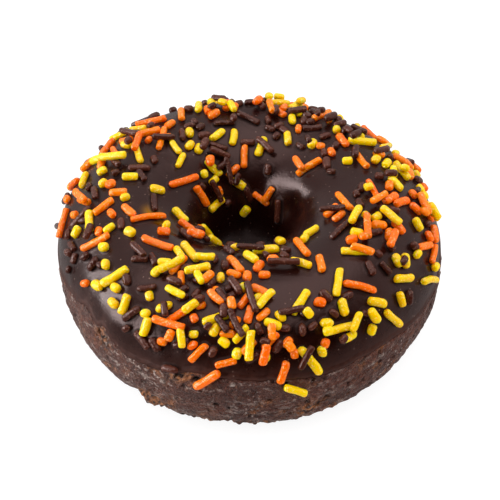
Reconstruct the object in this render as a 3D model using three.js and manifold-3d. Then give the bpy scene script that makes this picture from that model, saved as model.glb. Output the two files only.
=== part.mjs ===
// A chocolate ring doughnut: a cake ring under a cap of chocolate icing, with
// coloured sugar sprinkles stuck in the icing.
//
// Millimetres, +Z up, the ring's flat base on z = 0. The front is -Y.
// Angles are in degrees, anticlockwise from +X seen from above.
// A "place" is how far round the ring's section a point lies: 0 is the widest
// line outside, 1 the crest, 2 the narrow neck of the hole low down, 3 the inner
// end of the flat base, 4 its outer end, and 5 the widest line again.

import * as THREE from 'three';
import { mergeVertices } from 'three/addons/utils/BufferGeometryUtils.js';
import Module from 'manifold-3d';

const DEG = Math.PI / 180;

// Ring: a mean size, then waves round the ring as [size, waves per turn, angle of the peak].

const OUTER_RADIUS = [42.25, [1.08, 1, -48], [1.02, 2, -17], [1.06, 3, 22]];
const CREST_RADIUS = [27.0, [2.7, 1, 46]];
const NECK_RADIUS = [7.0, [1.0, 1, 50]];
const HEEL_RADIUS = [9.2, [1.0, 1, 50]];
const FOOT_RADIUS = [32.6, [0.8, 1, -48], [0.5, 2, -17]];
const CREST_LEVEL = [31.3, [0.25, 2, 150]];
const WIDEST_LEVEL = 13;
const NECK_LEVEL = 3.2;

// Fullness of each quarter of the section: 2 is round, more is squarer, less is flatter.

const OUTER_TOP_FULLNESS = 1.91;
const FUNNEL_FULLNESS = [2.65, [0.1, 1, 270]];
const HEEL_FULLNESS = 2.0;
const OUTER_BOTTOM_FULLNESS = 2.2;

// Swells and hollows of the surface: where, how wide, and how far it stands out.

const SWELLS = [
  { name: 'shallow funnel left of the hole', angle: 203, place: 1.28, wide: 34, long: 0.26, height: -1.5 },
  { name: 'bulge at the left front', angle: 221, place: 0.42, wide: 17, long: 0.24, height: 0.5 },
  { name: 'drip down the far wall', angle: 86, place: 1.72, wide: 11, long: 0.2, height: 1 },
  { name: 'pocket right of the drip', angle: 23, place: 1.6, wide: 15, long: 0.15, height: -1.3 },
  { name: 'flat spot at the back', angle: 75, place: 0.95, wide: 26, long: 0.3, height: -0.35 },
];

// Cake ring.

const CRAG_HEIGHT = 0.34;
const CRAG_FADE_ROWS = 2;
const CRAG_SEED = 11;
const EDGE_ROOM = 0.35;
const LUMPS = [
  { name: 'crumb at the left front', angle: 240.5, level: 4.5, wide: 3, tall: 2.4, height: 0.6 },
  { name: 'nick beside the crumb', angle: 235, level: 5, wide: 3, tall: 3, height: -0.8 },
  { name: 'pit at the front', angle: 294, level: 8.5, wide: 4, tall: 2.2, height: -0.8 },
  { name: 'notch at the foot', angle: 266, level: 3.2, wide: 4, tall: 2.2, height: -0.6 },
  { name: 'torn crumb under the icing', angle: 222, level: 15.5, wide: 5, tall: 2.4, height: -0.5 },
];

// Icing cap: it runs from a wavy line on the outside, over the crest and down the hole.

const ICING_THICKNESS = 1.2;
const GAP = 0.3;
const LIP_REACH = 0.035;
const EDGE_STEP = 0.45;
const EDGE_FADE = 5;
const OUTER_EDGE_LEVEL = [16.6, [1.5, 1, 265], [0.9, 2, 92], [0.35, 3, 13], [0.6, 5, -1], [0.7, 7, 5]];
const INNER_EDGE_LEVEL = [4.2, [0.5, 1, 270], [0.3, 3, 80], [0.2, 5, 15]];
const EDGE_NOTCH = { angle: 214, wide: 6, height: 1.6 };

// Grid of the faceted surfaces.

const COLUMNS = 56;
const ICING_ROWS = 13;
const HIDDEN_ROWS = 9;
const HEEL_ROWS = 3;
const BASE_ROWS = 2;
const SKIRT_ROWS = 9;

// Sprinkles: short bars of set sugar, from near balls to long rods. Each lies a
// little sunk in the icing, or crosses another on top of it.

const SPRINKLE_SEED = 38;
const SPRINKLE_TRIES = 40000;
const SPRINKLE_KINDS = {
  yellow: { count: 136, radius: 0.87, shortest: 1.8, longest: 6.8 },
  orange: { count: 122, radius: 0.83, shortest: 1.7, longest: 7.4 },
  brown: { count: 154, radius: 0.76, shortest: 1.6, longest: 6.6 },
};
const LENGTH_LEAN = 2.0;
const SHORTEST_AXIS = 0.04;
const SINK = 0.32;
const SAG_SHARE = 0.6;
const CLEARANCE = -0.1;
const CROSSING_SHARE = 0.13;
const CROSSING_LIFT = 1.45;
const OUTER_MARGIN = 0.16;
const INNER_LIMIT = 1.74;
const SOLID_SPRINKLES = 200;
const BAR_SIDES = 5;
const THINNED_COVER = 0.12;
const SPRINKLE_PATCHES = [
  { name: 'front shoulder', angle: 272, place: 0.55, wide: 32, long: 0.19, weight: 2.1 },
  { name: 'front left crest', angle: 256, place: 0.91, wide: 22, long: 0.17, weight: 1.9 },
  { name: 'bare spot at the front', angle: 284, place: 0.86, wide: 8, long: 0.1, weight: -1.4 },
  { name: 'right crest', angle: 345, place: 1, wide: 18, long: 0.18, weight: 1.1 },
  { name: 'right shoulder', angle: 352, place: 0.6, wide: 22, long: 0.2, weight: 0.3 },
  { name: 'back right crest', angle: 35, place: 0.86, wide: 26, long: 0.12, weight: 0.6 },
  { name: 'back crest', angle: 95, place: 0.86, wide: 34, long: 0.14, weight: 0.45 },
  { name: 'left crest', angle: 160, place: 0.84, wide: 24, long: 0.18, weight: 0.8 },
  { name: 'left shoulder', angle: 190, place: 0.56, wide: 20, long: 0.14, weight: 0.4 },
  { name: 'left of the hole', angle: 203, place: 1.32, wide: 12, long: 0.12, weight: 0.3 },
  { name: 'back of the hole', angle: 120, place: 1.42, wide: 24, long: 0.2, weight: 0.7 },
  { name: 'bare wall right of the hole', angle: 20, place: 1.55, wide: 45, long: 0.24, weight: -0.6 },
  { name: 'bare wall left of the hole', angle: 165, place: 1.5, wide: 14, long: 0.16, weight: -0.5 },
  { name: 'near lip of the hole', angle: 278, place: 1.18, wide: 26, long: 0.11, weight: 0.5 },
];

// Sprinkles that stand apart or catch the eye round the hole, each laid by hand.

const LAID_SPRINKLES = [
  { kind: 'orange', angle: 260, place: 0.24, turn: 42, length: 6.4 },
  { kind: 'yellow', angle: 284, place: 0.14, turn: -32, length: 5.4 },
  { kind: 'orange', angle: 281, place: 0.3, turn: 68, length: 4.8 },
  { kind: 'brown', angle: 249, place: 0.25, turn: 8, length: 3.4 },
  { kind: 'orange', angle: 265, place: 0.38, turn: 20, length: 4.4 },
  { kind: 'yellow', angle: 289, place: 0.34, turn: -62, length: 7.2 },
  { kind: 'orange', angle: 68, place: 1.63, turn: -26, length: 4.6 },
  { kind: 'orange', angle: 60, place: 1.59, turn: 70, length: 4 },
  { kind: 'brown', angle: 40, place: 1.66, turn: -70, length: 5.6 },
  { kind: 'brown', angle: 86, place: 1.6, turn: -62, length: 4.2 },
  { kind: 'orange', angle: 90, place: 1.36, turn: 88, length: 5.2 },
  { kind: 'orange', angle: 101, place: 1.45, turn: 30, length: 3.6 },
  { kind: 'yellow', angle: 96, place: 1.54, turn: -38, length: 3.6 },
  { kind: 'yellow', angle: 119, place: 1.39, turn: -64, length: 5 },
  { kind: 'yellow', angle: 132, place: 1.62, turn: 5, length: 5 },
  { kind: 'orange', angle: 148, place: 1.5, turn: 90, length: 5.4 },
  { kind: 'orange', angle: 153, place: 1.32, turn: -30, length: 8.4 },
  { kind: 'orange', angle: 36, place: 1.29, turn: 74, length: 6.4 },
  { kind: 'yellow', angle: 286, place: 1.22, turn: -8, length: 5.6 },
  { kind: 'orange', angle: 307, place: 1.14, turn: 76, length: 6.4 },
  { kind: 'yellow', angle: 237, place: 1.08, turn: -26, length: 6.6 },
  { kind: 'brown', angle: 332, place: 1.08, turn: -6, length: 7.4 },
];

// Named helpers.

function wave(angle, [mean, ...terms]) {
  let total = mean;
  for (const [size, count, peak] of terms) {
    total += size * Math.cos(count * (angle - peak * DEG));
  }
  return total;
}

function turnBetween(a, b) {
  const turn = (a - b) / DEG;
  return turn - 360 * Math.round(turn / 360);
}

function hill(across, along) {
  return Math.exp(-(across * across + along * along));
}

function seededDraw(seed) {
  let state = seed;
  return () => {
    state = (state + 0x6d2b79f5) | 0;
    let mixed = Math.imul(state ^ (state >>> 15), 1 | state);
    mixed = (mixed + Math.imul(mixed ^ (mixed >>> 7), 61 | mixed)) ^ mixed;
    return ((mixed ^ (mixed >>> 14)) >>> 0) / 4294967296;
  };
}

// Section of the ring at one angle.

function quarter(part, fullness) {
  const turn = part * Math.PI / 2;
  return [
    Math.max(Math.cos(turn), 0) ** (2 / fullness),
    Math.max(Math.sin(turn), 0) ** (2 / fullness),
  ];
}

function wrapPlace(place) {
  return place - 5 * Math.floor(place / 5);
}

function plainSection(angle, place) {
  const outer = wave(angle, OUTER_RADIUS);
  const crest = wave(angle, CREST_RADIUS);
  const neck = wave(angle, NECK_RADIUS);
  const heel = wave(angle, HEEL_RADIUS);
  const foot = wave(angle, FOOT_RADIUS);
  const top = wave(angle, CREST_LEVEL);
  const wrapped = wrapPlace(place);
  if (wrapped < 1) {
    const [out, up] = quarter(wrapped, OUTER_TOP_FULLNESS);
    return [crest + (outer - crest) * out, WIDEST_LEVEL + (top - WIDEST_LEVEL) * up];
  }
  if (wrapped < 2) {
    const [out, up] = quarter(2 - wrapped, wave(angle, FUNNEL_FULLNESS));
    return [crest + (neck - crest) * out, NECK_LEVEL + (top - NECK_LEVEL) * up];
  }
  if (wrapped < 3) {
    const [out, down] = quarter(wrapped - 2, HEEL_FULLNESS);
    return [heel + (neck - heel) * out, NECK_LEVEL * (1 - down)];
  }
  if (wrapped < 4) {
    return [heel + (foot - heel) * (wrapped - 3), 0];
  }
  const [out, down] = quarter(5 - wrapped, OUTER_BOTTOM_FULLNESS);
  return [foot + (outer - foot) * out, WIDEST_LEVEL * (1 - down)];
}

function sectionNormal(angle, place) {
  const reach = 0.02;
  const [r0, z0] = plainSection(angle, place - reach);
  const [r1, z1] = plainSection(angle, place + reach);
  const size = Math.hypot(r1 - r0, z1 - z0);
  return [(z1 - z0) / size, (r0 - r1) / size];
}

function swellAt(angle, place) {
  let height = 0;
  for (const swell of SWELLS) {
    const across = turnBetween(angle, swell.angle * DEG) / swell.wide;
    height += swell.height * hill(across, (wrapPlace(place) - swell.place) / swell.long);
  }
  return height;
}

function surfacePoint(angle, place, raised = 0) {
  const [r, z] = plainSection(angle, place);
  const [outward, upward] = sectionNormal(angle, place);
  const height = raised + swellAt(angle, place);
  const radius = r + outward * height;
  return new THREE.Vector3(radius * Math.cos(angle), radius * Math.sin(angle), z + upward * height);
}

// Places of the icing's two edges, from their levels.

function outerEdgeLevel(angle) {
  const notch = hill(turnBetween(angle, EDGE_NOTCH.angle * DEG) / EDGE_NOTCH.wide, 0);
  return wave(angle, OUTER_EDGE_LEVEL) + EDGE_NOTCH.height * notch;
}

function outerEdgePlace(angle) {
  const share = (outerEdgeLevel(angle) - WIDEST_LEVEL) / (wave(angle, CREST_LEVEL) - WIDEST_LEVEL);
  return Math.asin(Math.max(share, 0) ** (OUTER_TOP_FULLNESS / 2)) / (Math.PI / 2);
}

function innerEdgePlace(angle) {
  const share = (wave(angle, INNER_EDGE_LEVEL) - NECK_LEVEL) / (wave(angle, CREST_LEVEL) - NECK_LEVEL);
  return 2 - Math.asin(share ** (wave(angle, FUNNEL_FULLNESS) / 2)) / (Math.PI / 2);
}

// Closed ring from a loop of points at each angle.

function ringGeometry(loopAt) {
  const points = [];
  const faces = [];
  const loops = [];
  for (let column = 0; column < COLUMNS; column += 1) {
    loops.push(loopAt(2 * Math.PI * column / COLUMNS, column));
  }
  const rows = loops[0].length;
  for (let column = 0; column < COLUMNS; column += 1) {
    const next = (column + 1) % COLUMNS;
    for (let row = 0; row < rows; row += 1) {
      const above = (row + 1) % rows;
      points.push(...loops[column][row].toArray());
      const [a, b] = [column * rows + row, next * rows + row];
      const [c, d] = [next * rows + above, column * rows + above];
      if ((column + row) % 2) {
        faces.push(a, b, c, a, c, d);
      } else {
        faces.push(a, b, d, b, c, d);
      }
    }
  }
  const geometry = new THREE.BufferGeometry();
  geometry.setAttribute('position', new THREE.Float32BufferAttribute(points, 3));
  geometry.setIndex(faces);
  return geometry;
}

// Cake ring: it follows the icing's underside, then stands almost flush below the edge.

function lumpAt(angle, level) {
  let height = 0;
  for (const lump of LUMPS) {
    const across = turnBetween(angle, lump.angle * DEG) / lump.wide;
    height += lump.height * hill(across, (level - lump.level) / lump.tall);
  }
  return height;
}

function doughGeometry() {
  const draw = seededDraw(CRAG_SEED);
  const covered = -(ICING_THICKNESS + GAP);
  return ringGeometry((angle) => {
    const loop = [];
    const outer = outerEdgePlace(angle);
    const inner = innerEdgePlace(angle);
    for (let row = 0; row <= HIDDEN_ROWS; row += 1) {
      loop.push(surfacePoint(angle, outer + (inner - outer) * row / HIDDEN_ROWS, covered));
    }
    for (let row = 1; row < HEEL_ROWS; row += 1) {
      loop.push(surfacePoint(angle, inner + (3 - inner) * row / HEEL_ROWS, -EDGE_STEP));
    }
    for (let row = 0; row <= BASE_ROWS; row += 1) {
      loop.push(surfacePoint(angle, 3 + row / BASE_ROWS));
    }
    for (let row = 1; row <= SKIRT_ROWS; row += 1) {
      const place = 4 + (1 + outer) * row / (SKIRT_ROWS + EDGE_ROOM);
      const level = surfacePoint(angle, place).z;
      const below = outerEdgeLevel(angle) - level;
      const step = EDGE_STEP * Math.exp(-below / EDGE_FADE);
      const crag = CRAG_HEIGHT * (draw() - 0.5) * Math.min(row / CRAG_FADE_ROWS, 1);
      loop.push(surfacePoint(angle, place, crag + lumpAt(angle, level) - step));
    }
    for (const point of loop) {
      point.z = Math.max(point.z, 0);
    }
    return loop;
  });
}

// Icing cap: outside face, rounded lip in the hole, underside, rounded lip outside.

function icingGeometry() {
  return ringGeometry((angle) => {
    const loop = [];
    const outer = outerEdgePlace(angle);
    const inner = innerEdgePlace(angle);
    const first = outer + LIP_REACH;
    const last = inner - LIP_REACH;
    for (let row = 0; row <= ICING_ROWS; row += 1) {
      loop.push(surfacePoint(angle, first + (last - first) * row / ICING_ROWS));
    }
    loop.push(surfacePoint(angle, inner, -ICING_THICKNESS / 2));
    for (let row = HIDDEN_ROWS; row >= 0; row -= 1) {
      loop.push(surfacePoint(angle, outer + (inner - outer) * row / HIDDEN_ROWS, -ICING_THICKNESS));
    }
    loop.push(surfacePoint(angle, outer - LIP_REACH / 2, -ICING_THICKNESS / 2));
    return loop;
  });
}

// Sprinkles: where each lies, as the two ends of its axis.

function layBar(kind, angle, place, turn, length, lift) {
  const radius = SPRINKLE_KINDS[kind].radius;
  const here = surfacePoint(angle, place);
  const perTurn = Math.hypot(here.x, here.y);
  const step = 0.01;
  const perPlace = surfacePoint(angle, place + step).distanceTo(here) / step;
  const half = Math.max(length / 2 - radius, SHORTEST_AXIS / 2);
  const across = half * Math.cos(turn) / perTurn;
  const along = half * Math.sin(turn) / perPlace;
  const raised = radius * (1 - SINK + lift);
  const start = surfacePoint(angle - across, place - along, raised);
  const end = surfacePoint(angle + across, place + along, raised);
  const middle = surfacePoint(angle, place, raised);
  const sag = middle.clone().sub(start.clone().add(end).multiplyScalar(0.5)).multiplyScalar(SAG_SHARE);
  start.add(sag);
  end.add(sag);
  return { kind, radius, length, start, end };
}

function coverAt(angle, place) {
  let cover = THINNED_COVER;
  for (const patch of SPRINKLE_PATCHES) {
    const across = turnBetween(angle, patch.angle * DEG) / patch.wide;
    cover += patch.weight * hill(across, (place - patch.place) / patch.long);
  }
  return cover;
}

function closest(bar, other) {
  let nearest = Infinity;
  for (const share of [0, 0.25, 0.5, 0.75, 1]) {
    const point = bar.start.clone().lerp(bar.end, share);
    const line = new THREE.Line3(other.start, other.end);
    const foot = line.closestPointToPoint(point, true, new THREE.Vector3());
    nearest = Math.min(nearest, foot.distanceTo(point));
  }
  return nearest - bar.radius - other.radius;
}

function layAllSprinkles() {
  const draw = seededDraw(SPRINKLE_SEED);
  const bars = [];
  for (const laid of LAID_SPRINKLES) {
    bars.push(layBar(laid.kind, laid.angle * DEG, laid.place, laid.turn * DEG, laid.length, 0));
  }
  const left = Object.fromEntries(Object.entries(SPRINKLE_KINDS).map(([name, kind]) => [name, kind.count]));
  const names = Object.keys(SPRINKLE_KINDS);
  let total = names.reduce((sum, name) => sum + left[name], 0);
  for (let tried = 0; tried < SPRINKLE_TRIES && total > 0; tried += 1) {
    const angle = 2 * Math.PI * draw();
    const place = outerEdgePlace(angle) + OUTER_MARGIN + (INNER_LIMIT - OUTER_MARGIN) * draw();
    const name = names[Math.floor(names.length * draw())];
    const turn = 2 * Math.PI * draw();
    const size = draw() ** LENGTH_LEAN;
    const keep = draw();
    const onTop = draw() < CROSSING_SHARE;
    const kind = SPRINKLE_KINDS[name];
    const here = surfacePoint(angle, place);
    const stretch = Math.hypot(here.x, here.y) / OUTER_RADIUS[0];
    if (place > INNER_LIMIT || keep > coverAt(angle, place) * stretch || left[name] === 0) {
      continue;
    }
    const length = kind.shortest + (kind.longest - kind.shortest) * size;
    const bar = layBar(name, angle, place, turn, length, onTop ? CROSSING_LIFT : 0);
    const room = Math.min(...bars.map((other) => closest(bar, other)));
    if (onTop ? room > 0 || room < -bar.radius : room < CLEARANCE) {
      continue;
    }
    bars.push(bar);
    left[name] -= 1;
    total -= 1;
  }
  return bars;
}

function barGeometry(bar) {
  const axis = bar.end.clone().sub(bar.start);
  const geometry = new THREE.CapsuleGeometry(bar.radius, axis.length(), 1, BAR_SIDES);
  const turn = new THREE.Quaternion().setFromUnitVectors(new THREE.Vector3(0, 1, 0), axis.normalize());
  const middle = bar.start.clone().add(bar.end).multiplyScalar(0.5);
  geometry.applyQuaternion(turn);
  geometry.translate(middle.x, middle.y, middle.z);
  geometry.deleteAttribute('normal');
  geometry.deleteAttribute('uv');
  return mergeVertices(geometry, 1e-4);
}

// Joining.

const wasm = await Module();
wasm.setup();

function toSolid(geometry) {
  return new wasm.Manifold(new wasm.Mesh({
    numProp: 3,
    vertProperties: Float32Array.from(geometry.attributes.position.array),
    triVerts: Uint32Array.from(geometry.index.array),
  }));
}

function toGeometry(solid) {
  const mesh = solid.getMesh();
  const geometry = new THREE.BufferGeometry();
  geometry.setAttribute('position', new THREE.BufferAttribute(mesh.vertProperties, mesh.numProp));
  geometry.setIndex(new THREE.BufferAttribute(mesh.triVerts, 1));
  return geometry;
}

function largestBody(solid) {
  return solid.decompose().reduce((best, body) => (body.volume() > best.volume() ? body : best));
}

function icedGeometry() {
  const bars = layAllSprinkles();
  bars.sort((a, b) => b.length * b.radius - a.length * a.radius);
  let solid = toSolid(icingGeometry());
  for (const bar of bars.slice(0, SOLID_SPRINKLES)) {
    solid = solid.add(toSolid(barGeometry(bar)));
  }
  return toGeometry(largestBody(solid));
}

// Object.

const dough = new THREE.Mesh(
  doughGeometry(),
  new THREE.MeshStandardMaterial({ color: 0x543a31, roughness: 0.75, metalness: 0 }),
);
dough.name = 'dough';

const icing = new THREE.Mesh(
  icedGeometry(),
  new THREE.MeshStandardMaterial({ color: 0x35211d, roughness: 0.3, metalness: 0 }),
);
icing.name = 'icing';

const doughnut = new THREE.Group();
doughnut.add(dough, icing);

const box = new THREE.Box3().setFromObject(doughnut);
const middle = box.getCenter(new THREE.Vector3());
doughnut.position.set(-middle.x, -middle.y, -box.min.z);
doughnut.updateMatrixWorld(true);

export default doughnut;
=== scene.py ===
"""Looks of the chocolate ring doughnut: cake ring, icing cap and sugar sprinkles in three colours.

Shape values are in millimetres in the ring's own frame, as in the part's source, and become metres in
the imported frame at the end. Angles are in degrees, anticlockwise from +X seen from above. A "place" is how
far round the ring's section a point lies: 0 the widest line outside, 1 the crest, 2 the narrow neck of the
hole low down, 3 the inner end of the flat base, 4 its outer end, and 5 the widest line again.
"""

import math
import bpy
import numpy as np
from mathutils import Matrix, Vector, noise


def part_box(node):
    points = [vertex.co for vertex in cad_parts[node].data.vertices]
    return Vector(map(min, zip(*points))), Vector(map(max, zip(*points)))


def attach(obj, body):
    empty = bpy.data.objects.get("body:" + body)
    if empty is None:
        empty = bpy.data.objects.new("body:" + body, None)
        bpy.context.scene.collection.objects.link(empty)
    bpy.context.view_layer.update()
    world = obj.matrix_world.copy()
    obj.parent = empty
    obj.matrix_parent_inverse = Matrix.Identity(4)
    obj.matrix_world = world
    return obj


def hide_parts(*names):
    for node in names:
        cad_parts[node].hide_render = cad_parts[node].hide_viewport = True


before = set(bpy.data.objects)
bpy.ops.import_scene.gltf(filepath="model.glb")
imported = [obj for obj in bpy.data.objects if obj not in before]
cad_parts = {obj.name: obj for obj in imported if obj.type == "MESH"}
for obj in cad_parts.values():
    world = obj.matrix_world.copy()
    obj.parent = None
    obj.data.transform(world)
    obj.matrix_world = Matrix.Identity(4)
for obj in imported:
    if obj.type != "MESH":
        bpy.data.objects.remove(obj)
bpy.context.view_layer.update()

MM = 0.001
DEG = math.pi / 180

# Ring: a mean size, then waves round the ring as (size, waves per turn, angle of the peak).

OUTER_RADIUS = (42.25, (1.08, 1, -48), (1.02, 2, -17), (1.06, 3, 22))
CREST_RADIUS = (27.0, (2.7, 1, 46))
NECK_RADIUS = (7.0, (1.0, 1, 50))
HEEL_RADIUS = (9.2, (1.0, 1, 50))
FOOT_RADIUS = (32.6, (0.8, 1, -48), (0.5, 2, -17))
CREST_LEVEL = (31.3, (0.25, 2, 150))
WIDEST_LEVEL = 13
NECK_LEVEL = 3.2

# Fullness of each quarter of the section: 2 is round, more is squarer, less is flatter.

OUTER_TOP_FULLNESS = 1.91
FUNNEL_FULLNESS = (2.65, (0.1, 1, 270))
HEEL_FULLNESS = 2.0
OUTER_BOTTOM_FULLNESS = 2.2

# Swells and hollows of the surface: angle, place, half width in degrees, half length, height.

SWELLS = {
    "shallow funnel left of the hole": (203, 1.28, 34, 0.26, -1.5),
    "bulge at the left front": (221, 0.42, 17, 0.24, 0.5),
    "drip down the far wall": (86, 1.72, 11, 0.2, 1),
    "pocket right of the drip": (23, 1.6, 15, 0.15, -1.3),
    "flat spot at the back": (75, 0.95, 26, 0.3, -0.35),
}

# Cake ring: lumps and pits as angle, level, half width in degrees, half height, height.

LUMPS = {
    "crumb at the left front": (240.5, 4.5, 3, 2.4, 0.6),
    "nick beside the crumb": (235, 5, 3, 3, -0.8),
    "pit at the front": (294, 8.5, 4, 2.2, -0.8),
    "notch at the foot": (266, 3.2, 4, 2.2, -0.6),
    "torn crumb under the icing": (222, 15.5, 5, 2.4, -0.5),
}

# Icing cap, and the gap under it. The levels of its edges are waves, as the ring's sizes are.

ICING_THICKNESS = 1.2
GAP = 0.3
LIP_REACH = 0.035
EDGE_STEP = 0.45
EDGE_FADE = 5
OUTER_EDGE_LEVEL = (16.6, (1.5, 1, 265), (0.9, 2, 92), (0.35, 3, 13), (0.6, 5, -1), (0.7, 7, 5))
INNER_EDGE_LEVEL = (4.2, (0.5, 1, 270), (0.3, 3, 80), (0.2, 5, 15))
EDGE_NOTCH = {"angle": 214, "wide": 6, "height": 1.6}

# Sprinkles. Patches where they lie closer: angle, place, half width in degrees, half length, how much.

SPRINKLE_SEED = 38
SPRINKLE_TRIES = 40000
SPRINKLE_KINDS = {
    "yellow": {"count": 136, "radius": 0.87, "shortest": 1.8, "longest": 6.8},
    "orange": {"count": 122, "radius": 0.83, "shortest": 1.7, "longest": 7.4},
    "brown": {"count": 154, "radius": 0.76, "shortest": 1.6, "longest": 6.6},
}
LENGTH_LEAN = 2.0
SHORTEST_AXIS = 0.04
DRAWS_EACH = 7
CHECKED_POINTS = 5
SINK = 0.32
SAG_SHARE = 0.6
CLEARANCE = -0.1
CROSSING_SHARE = 0.13
CROSSING_LIFT = 1.45
OUTER_MARGIN = 0.16
INNER_LIMIT = 1.74
THINNED_COVER = 0.12
SPRINKLE_PATCHES = {
    "front shoulder": (272, 0.55, 32, 0.19, 2.1),
    "front left crest": (256, 0.91, 22, 0.17, 1.9),
    "bare spot at the front": (284, 0.86, 8, 0.1, -1.4),
    "right crest": (345, 1, 18, 0.18, 1.1),
    "right shoulder": (352, 0.6, 22, 0.2, 0.3),
    "back right crest": (35, 0.86, 26, 0.12, 0.6),
    "back crest": (95, 0.86, 34, 0.14, 0.45),
    "left crest": (160, 0.84, 24, 0.18, 0.8),
    "left shoulder": (190, 0.56, 20, 0.14, 0.4),
    "left of the hole": (203, 1.32, 12, 0.12, 0.3),
    "back of the hole": (120, 1.42, 24, 0.2, 0.7),
    "bare wall right of the hole": (20, 1.55, 45, 0.24, -0.6),
    "bare wall left of the hole": (165, 1.5, 14, 0.16, -0.5),
    "near lip of the hole": (278, 1.18, 26, 0.11, 0.5),
}

# Sprinkles laid one by one: colour, angle, place, turn from the ring's own direction, length.

LAID_SPRINKLES = (
    ("orange", 260, 0.24, 42, 6.4),
    ("yellow", 284, 0.14, -32, 5.4),
    ("orange", 281, 0.3, 68, 4.8),
    ("brown", 249, 0.25, 8, 3.4),
    ("orange", 265, 0.38, 20, 4.4),
    ("yellow", 289, 0.34, -62, 7.2),
    ("orange", 68, 1.63, -26, 4.6),
    ("orange", 60, 1.59, 70, 4),
    ("brown", 40, 1.66, -70, 5.6),
    ("brown", 86, 1.6, -62, 4.2),
    ("orange", 90, 1.36, 88, 5.2),
    ("orange", 101, 1.45, 30, 3.6),
    ("yellow", 96, 1.54, -38, 3.6),
    ("yellow", 119, 1.39, -64, 5),
    ("yellow", 132, 1.62, 5, 5),
    ("orange", 148, 1.5, 90, 5.4),
    ("orange", 153, 1.32, -30, 8.4),
    ("orange", 36, 1.29, 74, 6.4),
    ("yellow", 286, 1.22, -8, 5.6),
    ("orange", 307, 1.14, 76, 6.4),
    ("yellow", 237, 1.08, -26, 6.6),
    ("brown", 332, 1.08, -6, 7.4),
)

# From here on, what only this script adds. More sprinkles at the back, scattered after the others.

EXTRA_SEED = 7
EXTRA_TRIES = 9000
EXTRA_LONGEST = 5.4
EXTRA_COUNTS = {"yellow": 6, "orange": 9, "brown": 34}
EXTRA_PATCHES = {
    "behind the hole": (78, 1.08, 24, 0.16, 0.7),
    "back right crest": (48, 1.0, 15, 0.13, 1.0),
    "back left rim of the hole": (114, 1.32, 13, 0.09, 0.8),
    "back left crest": (126, 1.0, 12, 0.12, 0.4),
}

# Grain of a sprinkle. The shorter it is below LONG_GRAIN, the plumper it can be.

SPRINKLE_SIDES = 12
SPRINKLE_RINGS = 13
SHAPE_SEED = 41
LONG_GRAIN = 4.6
SHORT_GRAIN = 2.6
PLUMP = {"stretch": 0.8, "blunter": 0.9, "thicker": 0.2, "taper": 0.2}
BLUNTNESS = (2.3, 4.0)
GRAIN_THICKNESS = (0.88, 1.05)
BEND = 0.022
END_SLOPE = 0.12
END_SHARPNESS = 6
RING_EASE = 0.55
OVAL = 0.06
WAIST = {"depth": 0.035, "per_mm": 1.9}
TWIST = {"depth": 0.045, "per_mm": 1.7}
UPRIGHT_LEAN = 0.3

# Fine swells of both the icing and the cake ring, like the swells above.

FINE_SWELLS = {
    "arch over the pocket": (32, 1.5, 24, 0.28, 1),
    "lobe under the arch": (30, 1.6, 14, 0.09, -0.5),
    "fold right of the arch": (14, 1.4, 8, 0.12, -0.3),
    "crown of the bulge": (228, 0.51, 12, 0.24, 1.2),
    "flat top of the bulge": (222, 0.51, 10, 0.12, -0.5),
}

# Unevenness: a mean, then layers of smooth noise as (height, size of its features, seed).

EDGE_WANDER = (0, (0.02, 5.5, 14.2), (0.012, 1.9, 4.4))
ICING_WAVES = (0, (0.12, 9, 1.7), (0.05, 4, 6.2))
EDGE_THINNESS = (0.65, (0.3, 3.0, 17.5))
EDGE_GROOVE = (0.2, (0.2, 3.4, 26.2))
CRAGS = (0, (0.26, 5.5, 3.1), (0.19, 2.4, 8.4))
STREAKS = (0, (0.2, 1.1, 5.7))
GRAIN = (0, (1, 0.95, 16.1))
SMALL_PITS = (-0.5, (1, 1.4, 21.3), (0.18, 7, 2.2))
SCATTERED_TEARS = (-0.75, (2.6, 3.6, 31.7))
TEAR_STRENGTH = (1.1, (0.9, 1.6, 12.9))

# Icing: nicks in its outer edge as (angle, half width, size), a crease and wrinkles. Its waves die down
# on the wall of the hole.

EDGE_NICKS = ((223.5, 2.6, 0.075), (250, 3, 0.025), (257, 4, 0.03))
EDGE_THINNING = 0.16
THIN_REACH = 0.06
WALL_CALM = {"start": 4, "per_place": 2.6, "least": 0.2}
CREASE_JOINTS = ((192, 1.1), (204, 1.16), (216, 1.22), (236, 1.34))
CREASE_DEPTH = 0.45
CREASE_WIDTH = 1.1
BLEED_LENGTH = 4.5
BLEED_WIDTH = 1.5
WRINKLES = {"angle": 342, "place": 0.35, "wide": 9, "long": 0.1, "spacing": 5, "slant": 9, "height": 0.1}

# Rows of the icing's rounded lips: how far in from the edge, as a share of the lip's reach, and how deep,
# as a share of the icing's thickness.

INNER_LIP = ((-1, 0.0), (-0.4, 0.15), (0, 0.5), (-0.2, 0.9))
OUTER_LIP = ((0, 1.0), (-0.6, 0.75), (-0.6, 0.42), (0, 0.18), (0.5, 0.05))

# Icing round a sprinkle: drawn up, darkened with painted contact shade where they meet, and stained by a
# coloured one.

DRAWN_UP = {"height": 0.11, "middle": 0.05, "width": 0.34}
TOUCHING = 0.1
CONTACT_SHADE_WIDTH = 0.33
STAIN = {"share": 0.5, "reach": 0.55}
NEARBY = 3

# Crumb: how high or deep each kind of relief is, and how it fades at the foot and under the icing.

STREAK_SHAPE = np.array([0.3, 0.3, 1.3])
GRAIN_HEIGHT = 0.16
TORN = {"grain": 0.8, "pits": 0.22, "depth": 0.25, "scattered": 0.45}
PIT_DEPTH = 2.6
PIT_SHADE = 1.6
PALE_HEIGHT = 0.45
GROOVE_REACH = 1.2
FOOT_FADE = 2
TOP_FADE = 0.8
TOP_SHARE = 0.45
STREAK_STRETCH = (0.3, 0.3, 1.0)
# Dried glaze lies thicker towards the lit left side, where its pale streaks also paint the sheen.
GLAZE_AND_SHEEN_AROUND = (0.5, (0.44, 1, 196))

# Spots on the crumb: angle, level, half width in degrees, half height, and how much. The pale spots and
# the pits are hills made steeper and cut off at the foot.

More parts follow.
